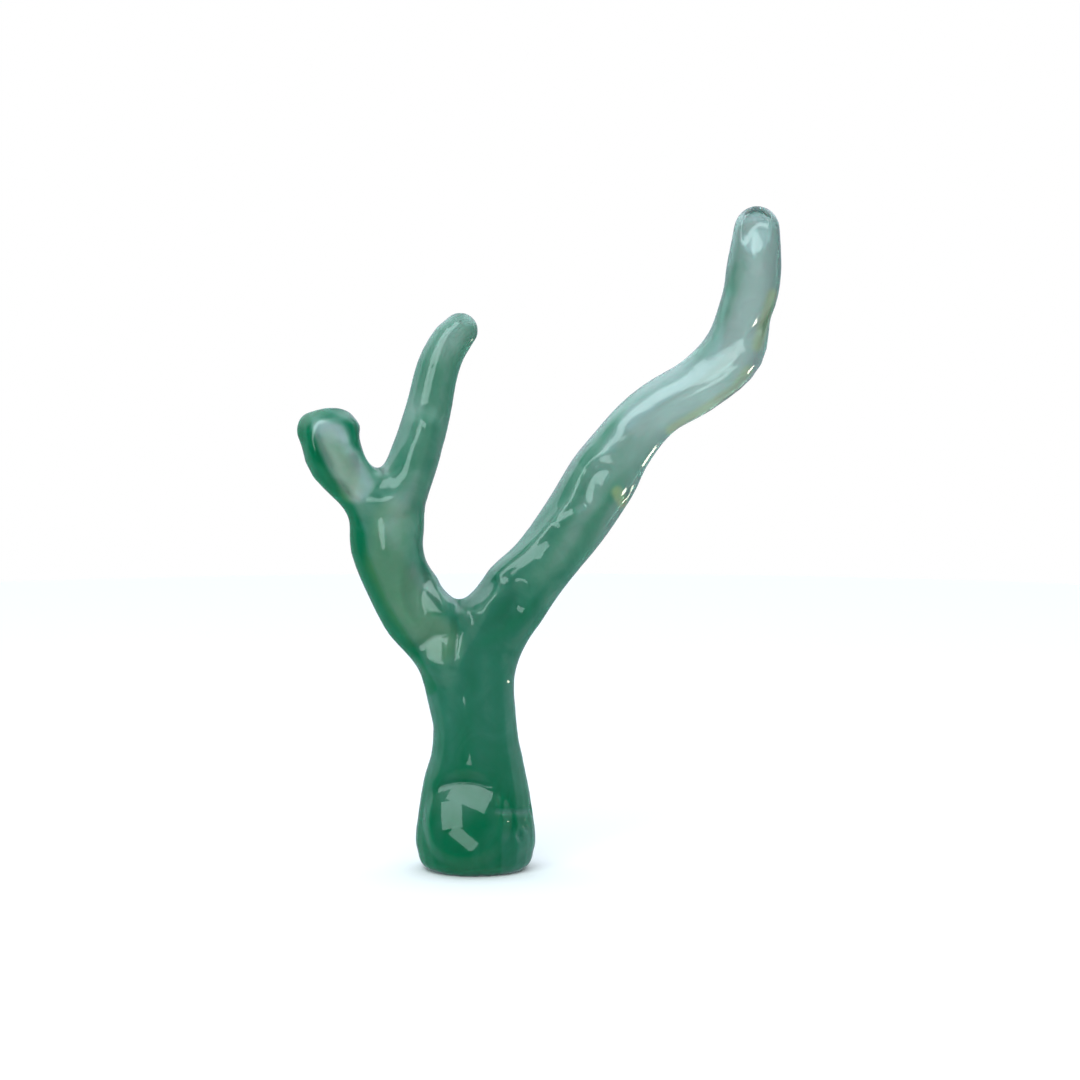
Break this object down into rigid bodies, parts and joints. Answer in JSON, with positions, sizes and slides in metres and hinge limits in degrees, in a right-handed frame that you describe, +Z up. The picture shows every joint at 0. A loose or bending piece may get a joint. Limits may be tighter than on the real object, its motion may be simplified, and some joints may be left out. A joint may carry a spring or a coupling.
{
  "type": "staghorn coral ornament",
  "caption": "Free-standing ornament in the shape of a forked staghorn coral, in glossy translucent green glass, with a flat foot to rest on.",
  "frame": {"origin": "centre of the foot's flat base", "axes": "+Z up along the trunk, +X towards the long branch's tip, -Y towards the front"},
  "size_m": [0.1586, 0.0411, 0.2199],
  "materials": {
    "deep_green_glass": "cloudy translucent green glass, glossy all over",
    "mid_green_glass": "cloudy translucent green glass, glossy all over, paler than the trunk",
    "pale_green_glass": "clearer pale grey-green glass, glossy all over"
  },
  "bodies": {
    "root": {"trunk": "deep_green_glass", "left_limb": "mid_green_glass", "knob": "mid_green_glass", "finger": "mid_green_glass", "long_branch": "pale_green_glass"}
  },
  "joints": []
}
